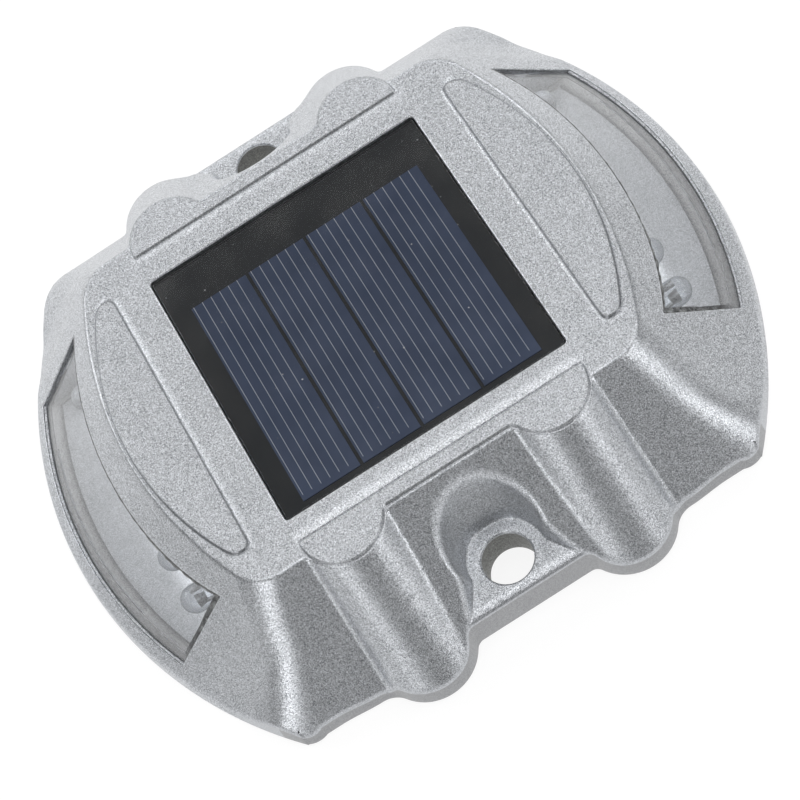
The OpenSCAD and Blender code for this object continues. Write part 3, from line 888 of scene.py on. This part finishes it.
reb = rrect(96.0, 84.0, 5.3, 1.2)
hole_loops = [circle((0, sy * BOLT_Y), 5.25, 96) for sy in (-1, 1)]
under = [foot_loop, reb + out_dirs(reb) * 0.2] + hole_loops
for P, h in coring():
    under.append(P + out_dirs(P) * 0.3)
flat_region(sh, under, 0.0, up=False, soft=1.0)
for P, h in coring():
    n = out_dirs(P)
    rws = [
        sh.verts(np.column_stack([P + n * 0.3, np.zeros(len(P))]), soft=1.0),
        sh.verts(np.column_stack([P + n * 0.09, np.full(len(P), 0.09)]), soft=1.0),
        sh.verts(np.column_stack([P, np.full(len(P), 0.3)]), soft=1.0),
        sh.verts(np.column_stack([P - n * 0.1, np.full(len(P), h - 0.8)]), soft=1.0),
        sh.verts(np.column_stack([P - n * 0.35, np.full(len(P), h - 0.25)]), soft=1.0),
        sh.verts(np.column_stack([P - n * 0.9, np.full(len(P), h)]), soft=1.0),
    ]
    for a, b in zip(rws[:-1], rws[1:]):
        sh.strip(a, b, flip=True)
    flat_region(sh, [P - n * 0.9], h, up=False, soft=1.0)
n = out_dirs(reb)
rws = [
    sh.verts(np.column_stack([reb + n * 0.2, np.zeros(len(reb))]), soft=1.0),
    sh.verts(np.column_stack([reb, np.full(len(reb), 0.2)]), soft=1.0),
    sh.verts(np.column_stack([reb, np.full(len(reb), 3.3)]), soft=1.0),
    sh.verts(np.column_stack([reb - n * 5.0, np.full(len(reb), 3.3)]), soft=1.0),
    sh.verts(np.column_stack([reb - n * 5.0, np.full(len(reb), 20.0)]), soft=1.0),
]
for a, b in zip(rws[:-1], rws[1:]):
    sh.strip(a, b, flip=True)

casting = sh.make("casting", [SILVER, BORE_PAINTED_SHADE, SHADED_SKIRT_PAINT], sharp=38, custom=True, slot="housing_silver")
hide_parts("housing")
print("casting faces", len(sh.f), "verts", sh.count)

# ------------------------------------------------------------------ lenses
W0, W1 = PAN_OFF - WIN, PAN_OFF + WIN      # ends of a window opening


def lens(sx):
    """clear cover behind the opening: a thin curved front wall and two closed ends"""
    s = Shell()
    ys = np.linspace(W0 + 1.9, W1 - 1.9, 90)
    zs = np.concatenate([[4.6], np.linspace(5.2, 19.6, 26), [19.9]])
    out_, in_ = [], []
    for y in ys:
        zy = zs + (roof_z(y) - ROOF) * (zs - 4.6) / 15.3
        xo = np.minimum(side_x(zy, np.full(len(zs), y), 1.0), arc_x(83.8, 68.5, y))
        out_.append(s.verts(np.column_stack([sx * xo, np.full(len(zs), y), zy])))
        in_.append(s.verts(np.column_stack([sx * (xo - 2.0), np.full(len(zs), y), zy])))
    for A, Bn in zip(out_[:-1], out_[1:]):
        s.strip(A, Bn, closed=False, flip=sx > 0)
    for A, Bn in zip(in_[:-1], in_[1:]):
        s.strip(A, Bn, closed=False, flip=sx < 0)
    oi, ii = np.array(out_), np.array(in_)
    s.strip(oi[:, 0], ii[:, 0], closed=False, flip=sx < 0)
    s.strip(oi[:, -1], ii[:, -1], closed=False, flip=sx > 0)
    for ya, yb in ((W1 - 1.9, W1 - 0.3), (W0 + 1.9, W0 + 0.3)):
        rings = []
        for y in (ya, yb):
            zy = zs + (roof_z(y) - ROOF) * (zs - 4.6) / 15.3
            xo = np.minimum(side_x(zy, np.full(len(zs), y), 1.0), arc_x(83.8, 68.5, y))
            a = s.verts(np.column_stack([sx * xo, np.full(len(zs), y), zy]))
            b = s.verts(np.column_stack([np.full(len(zs), sx * 47.8), np.full(len(zs), y), zy]))
            rings.append((a, b))
        (a0, b0), (a1, b1) = rings
        f = (sx > 0) != (ya > 0)
        s.strip(a0, a1, closed=False, flip=not f)
        s.strip(a1, b1, closed=False, flip=not f)
        s.strip(b0, b1, closed=False, flip=f)
        s.faces([[a0[0], a1[0], b1[0], b0[0]][:: 1 if f else -1], [a0[-1], a1[-1], b1[-1], b0[-1]][:: -1 if f else 1]])
        zy = zs + (roof_z(ya) - ROOF) * (zs - 4.6) / 15.3
        xi = np.minimum(side_x(zy, np.full(len(zs), ya), 1.0), arc_x(83.8, 68.5, ya)) - 2.0
        i = s.verts(np.column_stack([sx * xi, np.full(len(zs), ya), zy]))
        s.strip(i, b0, closed=False, flip=f)
    side = "left" if sx < 0 else "right"
    o = s.make(side + "_window", [LENS], sharp=30, slot="lens_clear")
    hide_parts(side + "_lens")
    return o


lens(-1)
lens(1)

# sealant that beds the foot of each lens and runs round its far end, in a darker copy of the silver paint as painted
# shade, and a dark block of painted shade behind its near end
for sx, side in ((-1, "left"), (1, "right")):
    s = Shell()
    ys = np.linspace(W0 + 0.1, W1 - 0.1, 110)
    xo = arc_x(83.8, 68.7, ys)
    xi = arc_x(83.8, 64.4, ys)
    xi = np.where(ys > 0, np.where(W1 - 0.1 - ys < 1.5, 50.0, xi), xi)
    prof = [(0.0, 4.22), (0.1, 4.34), (0.3, 4.52), (0.55, 4.7), (0.3, 4.8), (1.0, 4.8)]
    rws = []
    for k_, (t, z) in enumerate(prof):
        x = xi + (xo - xi) * t if k_ > 3 else xi + t
        rws.append(s.verts(np.column_stack([sx * x, ys, np.full(len(ys), z)])))
    for A, Bn in zip(rws[:-1], rws[1:]):
        s.strip(A, Bn, closed=False, flip=sx > 0)
    k = s.verts(np.column_stack([sx * xo, ys, np.full(len(ys), 4.22)]))
    s.strip(rws[-1], k, closed=False, flip=sx > 0)
    s.strip(k, rws[0], closed=False, flip=sx > 0)
    for j in (0, -1):
        ring = [r[j] for r in rws] + [k[j]]
        s.faces([ring if (j == 0) == (sx > 0) else ring[::-1]])
    o = s.make(side + "_sealant_bed", [SHADED_SEAL], sharp=40, slot="sealant_grey")
    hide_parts(side + "_lens_seal")
    # dark block behind the near end of the lens, thick at the top and thin at the foot: painted shade, its pale
    # streaks painted reflections
    s = Shell()
    zs = np.linspace(4.7, 20.6, 24)
    x1 = side_x(zs, np.full(len(zs), abs(W0)), 1.12)
    x1 = np.minimum(x1, arc_x(83.8, 68.4, W0))
    rings = []
    for y in (np.full(len(zs), W0 + 0.05), W0 + 0.5 + 1.25 * sstep(5.0, 16.0, zs)):
        a = s.verts(np.column_stack([sx * x1, y, zs]))
        b = s.verts(np.column_stack([np.full(len(zs), sx * 47.9), y, zs]))
        rings.append((a, b))
    (a0, b0), (a1, b1) = rings
    f = sx > 0
    s.strip(a0, a1, closed=False, flip=f)
    s.strip(b0, b1, closed=False, flip=not f)
    s.strip(a0, b0, closed=False, flip=not f)
    s.strip(a1, b1, closed=False, flip=f)
    s.faces([[a0[0], a1[0], b1[0], b0[0]][:: 1 if f else -1], [a0[-1], a1[-1], b1[-1], b0[-1]][:: -1 if f else 1]])
    # dark uneven bead between the upper edge of the lens and the roof of the opening: painted shadow under the roof
    # edge
    ys = np.linspace(W0 + 0.15, W1 - 0.15, 260)
    wob = 0.5 + 0.5 * np.sin(ys * 1.7 + sx) * np.sin(ys * 0.63 + 1.0)
    top = roof_z(ys) - 0.03
    low = top - 0.2 - 0.14 * wob - 0.25 * sstep(-8.0, -24.0, ys) * (0.4 + 0.6 * wob)
    hi_x = side_x(top, ys) - 0.06
    lo_x = side_x(low, ys) - 0.12
    ring = []
    for x, z in ((hi_x - 2.0, top), (hi_x, top), (0.5 * (hi_x + lo_x) + 0.05, 0.5 * (top + low)), (lo_x, low), (lo_x - 1.6, low)):
        ring.append(s.verts(np.column_stack([sx * x, ys, z])))
    for A, Bn in zip(ring, ring[1:] + ring[:1]):
        s.strip(A, Bn, closed=False, flip=sx > 0)
    for j in (0, -1):
        q = [r[j] for r in ring]
        s.faces([q if (j == 0) == (sx > 0) else q[::-1]])
    o = s.make(side + "_painted_shade_sealant", [PAINTED_SHADE_SEALANT], sharp=40, slot="sealant_grey")

# ------------------------------------------------------------------ LEDs
LED_GLASS = clear("led_clear", (0.84, 0.855, 0.875), 0.03, 1.5, haze=0.09)
TIN = plain("tinned_metal", (0.62, 0.62, 0.63), 0.3, 0.95, 0.15, 2.0)
led_base = 47.2


def lathe_x(s, prof, c, sx, n=40, mat=0):
    """turns (distance along x, radius) pairs about the x axis through c"""
    rings = []
    a = np.linspace(0, 2 * math.pi, n, endpoint=False)
    for d_, r in prof:
        if r < 1e-6:
            rings.append(s.verts([[sx * (c[0] + d_), c[1], c[2]]]))
        else:
            rings.append(s.verts(np.column_stack([np.full(n, sx * (c[0] + d_)), c[1] + r * np.cos(a), c[2] + r * np.sin(a)])))
    for A, Bn in zip(rings[:-1], rings[1:]):
        if len(A) == 1 or len(Bn) == 1:
            for i in range(n):
                j = (i + 1) % n
                f = (A[0], Bn[j], Bn[i]) if len(A) == 1 else (A[i], A[j], Bn[0])
                s.faces([f if sx > 0 else f[::-1]], mat)
        else:
            s.strip(A, Bn, flip=sx < 0, mat=mat)


for sx, side in ((-1, "left"), (1, "right")):
    s, fr = Shell(), Shell()
    dome = [(5.8 + 2.8 * math.sin(t), 2.8 * math.cos(t)) for t in np.linspace(0, math.pi / 2, 18)]
    dome[-1] = (8.6, 0.0)
    prof = [(0.0, 0.0), (0.0, 3.1), (0.1, 3.2), (0.9, 3.2), (1.0, 3.1), (1.0, 2.8), (5.8, 2.8)] + dome[1:]
    for y in np.arange(-2.5, 2.6) * 10.2 + PAN_OFF:
        lathe_x(s, prof, (led_base, y, 10.8), sx)
        for q in (-1.27, 1.27):
            x0, x1 = led_base + 0.02, led_base + 3.7
            lathe_x(fr, [(0.0, 0.0), (0.0, 0.3), (3.7, 0.3), (3.7, 0.0)], (x0, y + q, 10.8), sx, 8)
        lathe_x(fr, [(3.6, 0.0), (3.6, 0.75), (5.2, 0.95), (5.6, 1.0), (5.35, 0.55), (5.35, 0.0)], (led_base, y - 0.55, 10.8), sx, 24)
        lathe_x(fr, [(3.6, 0.0), (3.6, 0.42), (5.9, 0.42), (5.9, 0.0)], (led_base, y + 1.2, 10.8), sx, 16)
    o = s.make(side + "_led_bodies", [LED_GLASS], sharp=40, slot="led_clear")
    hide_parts(side + "_leds")
    o = fr.make(side + "_led_posts", [TIN], sharp=40, slot="tinned_metal")
    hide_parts(side + "_led_frames")

# ------------------------------------------------------------------ panel
def slab(s, P, z0, z1, bevel=0.25, mat=0, segs=3):
    n = out_dirs(P)
    rws = []
    prof = [(0.0, z0), (0.0, z1 - bevel)]
    for i in range(1, segs + 1):
        t = i / segs * math.pi / 2
        prof.append((bevel * (1 - math.cos(t)), z1 - bevel + bevel * math.sin(t)))
    for inset, z in prof:
        rws.append(s.verts(np.column_stack([P - n * inset, np.full(len(P), z)])))
    for A, Bn in zip(rws[:-1], rws[1:]):
        s.strip(A, Bn, mat=mat)
    flat_region(s, [P - n * bevel], z1, mat=mat)
    flat_region(s, [P], z0, up=False, mat=mat)


def panel_black():
    m, nt = new_mat("panel_laminate")
    g = N(nt)
    v = g.coords()
    n1 = g.noise(v, 0.25, 4.0, 0.6)
    col = g.ramp(n1, [(0.3, (0.006, 0.006, 0.007)), (0.7, (0.011, 0.011, 0.012))])
    p = g.principled(Base_Color=col)
    g.link(g.remap(n1, 0.3, 0.7, 0.45, 0.6), p.inputs["Roughness"])
    g.out(p.outputs[0])
    return m


def cell_mat():
    m, nt = new_mat("solar_cell")
    g = N(nt)
    v = g.coords()
    n1 = g.noise(v, 0.18, 3.0, 0.5)
    n2 = g.noise(v, 6.0, 2.0, 0.5)
    t = g.math("MULTIPLY_ADD", n2, 0.35, g.math("MULTIPLY", n1, 0.65))
    col = g.ramp(t, [(0.3, (0.072, 0.096, 0.165)), (0.7, (0.1, 0.13, 0.215))])
    p = g.principled(Base_Color=col, Metallic=0.35)
    g.link(g.remap(n2, 0.3, 0.7, 0.36, 0.5), p.inputs["Roughness"])
    g.out(p.outputs[0])
    return m


def panel_clear():
    """clear resin face: gloss over what lies beneath, with a little dust"""
    m, nt = new_mat("panel_clear")
    g = N(nt)
    v = g.coords()
    tr = g.node("ShaderNodeBsdfTransparent")
    n1 = g.noise(v, 0.12, 3.0, 0.5)
    g.link(g.ramp(n1, [(0.3, (0.90, 0.92, 0.94)), (0.7, (0.96, 0.97, 0.98))]), tr.inputs["Color"])
    gl = g.node("ShaderNodeBsdfGlossy")
    gl.inputs["Color"].default_value = (1, 1, 1, 1)
    g.link(g.remap(n1, 0.3, 0.7, 0.08, 0.16), gl.inputs["Roughness"])
    fr = g.node("ShaderNodeFresnel")
    fr.inputs["IOR"].default_value = 1.5
    mx = g.node("ShaderNodeMixShader")
    g.link(fr.outputs[0], mx.inputs[0])
    g.link(tr.outputs[0], mx.inputs[1])
    g.link(gl.outputs[0], mx.inputs[2])
    # dust: a few grains
    dv = g.voronoi(v, 0.42, "Distance")
    dc = g.voronoi(v, 0.42, "Color")
    sep = g.node("ShaderNodeSeparateColor")
    g.link(dc, sep.inputs[0])
    size = g.remap(sep.outputs[0], 0.55, 1.0, 0.0, 0.085)
    near = g.math("LESS_THAN", dv, size)
    df = g.node("ShaderNodeBsdfDiffuse")
    df.inputs["Color"].default_value = (0.55, 0.56, 0.58, 1)
    mx2 = g.node("ShaderNodeMixShader")
    g.link(g.math("MULTIPLY", near, 0.5), mx2.inputs[0])
    g.link(mx.outputs[0], mx2.inputs[1])
    g.link(df.outputs[0], mx2.inputs[2])
    g.out(mx2.outputs[0])
    return m


s = Shell()
slab(s, rrect(60.0, 60.0, 0.7, 2.0, PAN_OFF), 23.45, 24.75, 0.08)
o = s.make("panel_laminate_sheet", [panel_black()], sharp=30, slot="panel_laminate")
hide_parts("panel_board")
s = Shell()
slab(s, rrect(60.0, 60.0, 0.7, 2.0, PAN_OFF), 24.76, PAN_Z, 0.3, segs=4)
o = s.make("panel_face", [panel_clear()], sharp=50, slot="panel_clear")
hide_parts("panel_cover")

CELL_Y0, CELL_Y1 = PAN_OFF - 3.8 - 24.3, PAN_OFF - 3.8 + 24.3
s, fg = Shell(), Shell()
for i in range(4):
    x0 = (i - 1.5) * 13.0 - 6.15
    P = np.array([[x0, CELL_Y0], [x0 + 12.3, CELL_Y0], [x0 + 12.3, CELL_Y1], [x0, CELL_Y1]])
    slab(s, P, 24.77, 24.98, 0.03, segs=1)
    for j in range(6):
        fx = x0 + 0.52 + 1.96 * j
        Q = np.array([[fx - 0.055, CELL_Y0 + 1.2], [fx + 0.055, CELL_Y0 + 1.2], [fx + 0.055, CELL_Y1], [fx - 0.055, CELL_Y1]])
        slab(fg, Q, 24.975, 25.0, 0.01, segs=1)
o = s.make("cell_strips", [cell_mat()], sharp=30, slot="solar_cell")
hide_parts("solar_cells")
FINGER = plain("cell_finger", (0.8, 0.83, 0.87), 0.5, 0.1, 0.1, 3.0)
o = fg.make("cell_fingers", [FINGER], sharp=30, slot="solar_cell")

# ------------------------------------------------------------------ CAD nodes that stay as they are
LOOK = {
    "gasket_black": plain("gasket_black", (0.012, 0.012, 0.013), 0.75),
    "sealant_grey": SHADED_SEAL,
    # painted shade: the white LED board gets a mid-grey colour for the shaded strip it shows under the roof edge
    "led_board_white": plain("led_board_white", (0.3, 0.31, 0.32), 0.5),
    "tinned_metal": TIN,
    "board_green": plain("board_green", (0.02, 0.13, 0.05), 0.35, coat=0.3),
    "screw_steel": plain("screw_steel", (0.55, 0.56, 0.57), 0.32, 0.95, 0.12, 2.5),
    "ferrite_grey": plain("ferrite_grey", (0.07, 0.07, 0.075), 0.6),
    "capacitor_blue": plain("capacitor_blue", (0.02, 0.035, 0.09), 0.3),
    "chip_black": plain("chip_black", (0.015, 0.015, 0.015), 0.55),
    "holder_black": plain("holder_black", (0.015, 0.015, 0.016), 0.5),
    "cell_can": plain("cell_can", (0.55, 0.55, 0.56), 0.25, 0.95),
    "sleeve_green": plain("sleeve_green", (0.02, 0.14, 0.08), 0.3),
    "wire_red": plain("wire_red", (0.4, 0.015, 0.012), 0.45),
    "wire_black": plain("wire_black", (0.012, 0.012, 0.013), 0.45),
    "wire_white": plain("wire_white", (0.6, 0.6, 0.58), 0.45),
    "switch_black": plain("switch_black", (0.02, 0.02, 0.022), 0.5),
    "button_red": plain("button_red", (0.42, 0.03, 0.022), 0.42, bump=0.3),
    "cover_black": plain("cover_black", (0.018, 0.019, 0.021), 0.55, bump=0.5, dist=0.06),
}
slots = {q["node"]: q["material_slot"] for q in frame["record"]["subparts"]}
for name, o in frame["nodes"].items():
    if o.hide_render:
        continue
    look = LOOK.get(slots[name])
    if look is None:
        look = {"housing_silver": SILVER, "lens_clear": LENS, "led_clear": LED_GLASS}.get(slots[name], FINGER)
    o.data.materials.clear()
    o.data.materials.append(look)

# ------------------------------------------------------------------ stage
def stage_mat():
    m, nt = new_mat("floor_white")
    g = N(nt)
    df = g.principled(Base_Color=(0.86, 0.86, 0.86))
    df.inputs["Roughness"].default_value = 0.9
    em = g.node("ShaderNodeEmission")
    em.inputs["Color"].default_value = (1, 1, 1, 1)
    em.inputs["Strength"].default_value = 1.08
    mx = g.node("ShaderNodeMixShader")
    mx.inputs[0].default_value = 0.8
    g.link(df.outputs[0], mx.inputs[1])
    g.link(em.outputs[0], mx.inputs[2])
    g.out(mx.outputs[0])
    return m


me = bpy.data.meshes.new("floor")
me.from_pydata([(-3, -3, -0.0002), (3, -3, -0.0002), (3, 3, -0.0002), (-3, 3, -0.0002)], [], [(0, 1, 2, 3)])
me.materials.append(stage_mat())
floor = bpy.data.objects.new("floor", me)
bpy.context.scene.collection.objects.link(floor)


def area_light(name, loc, target, size, power, size_y=None):
    l = bpy.data.lights.new(name, "AREA")
    l.shape = "RECTANGLE"
    l.size, l.size_y = size, size_y or size
    l.energy = power
    o = bpy.data.objects.new(name, l)
    o.location = loc
    d_ = Vector(target) - Vector(loc)
    o.rotation_mode = "QUATERNION"
    o.rotation_quaternion = d_.to_track_quat("-Z", "Y")
    bpy.context.scene.collection.objects.link(o)
    return o


def soft_box(name, azimuth, elevation, size, power, dist=1.0):
    """azimuth 0 is behind the part, 90 on its right"""
    a, e = math.radians(azimuth), math.radians(elevation)
    loc = (math.sin(a) * math.cos(e) * dist, math.cos(a) * math.cos(e) * dist, math.sin(e) * dist)
    return area_light(name, loc, (0, 0, 0), size, power)


soft_box("back_low", 0, 12, 0.5, 0.65)
soft_box("back_mid", 0, 38, 0.5, 1.15)
soft_box("overhead", 0, 85, 0.5, 1.8)
soft_box("left_high", -90, 60, 0.5, 0.75)
soft_box("right_mid", 90, 35, 0.4, 0.7)
soft_box("right_high", 90, 60, 0.5, 1.15)
soft_box("front_left", -136, 26, 0.42, 1.9)
soft_box("front_right", 136, 26, 0.42, 1.95)
soft_box("back_left", -45, 30, 0.5, 3.2)
soft_box("back_right", 45, 30, 0.5, 3.0)

w = bpy.data.worlds.new("studio")
bpy.context.scene.world = w
w.use_nodes = True
bg = w.node_tree.nodes["Background"]
bg.inputs["Color"].default_value = (1, 1, 1, 1)
bg.inputs["Strength"].default_value = 0.17

# ------------------------------------------------------------------ camera
cam = bpy.data.cameras.new("camera")
cam.sensor_width = 36.0
cam.lens = 2339.85 * 36 / 800
cam.clip_start, cam.clip_end = 0.02, 20
co = bpy.data.objects.new("camera", cam)
bpy.context.scene.collection.objects.link(co)
el, az, roll = math.radians(60.54), math.radians(1.45), math.radians(33.82)
F = np.array([-math.sin(az) * math.cos(el), math.cos(az) * math.cos(el), -math.sin(el)])
R0 = np.array([math.cos(az), math.sin(az), 0.0])
U0 = np.cross(R0, F)
Rv = math.cos(roll) * R0 - math.sin(roll) * U0
Uv = math.sin(roll) * R0 + math.cos(roll) * U0
M = Matrix([
    [Rv[0], Uv[0], -F[0], 0.00430970],
    [Rv[1], Uv[1], -F[1], -0.23220319],
    [Rv[2], Uv[2], -F[2], 0.39776275],
    [0, 0, 0, 1],
])
co.matrix_world = M
bpy.context.scene.camera = co
vs = bpy.context.scene.view_settings
vs.view_transform = "Standard"
vs.look = "None"
vs.exposure = 0.0
vs.gamma = 1.0
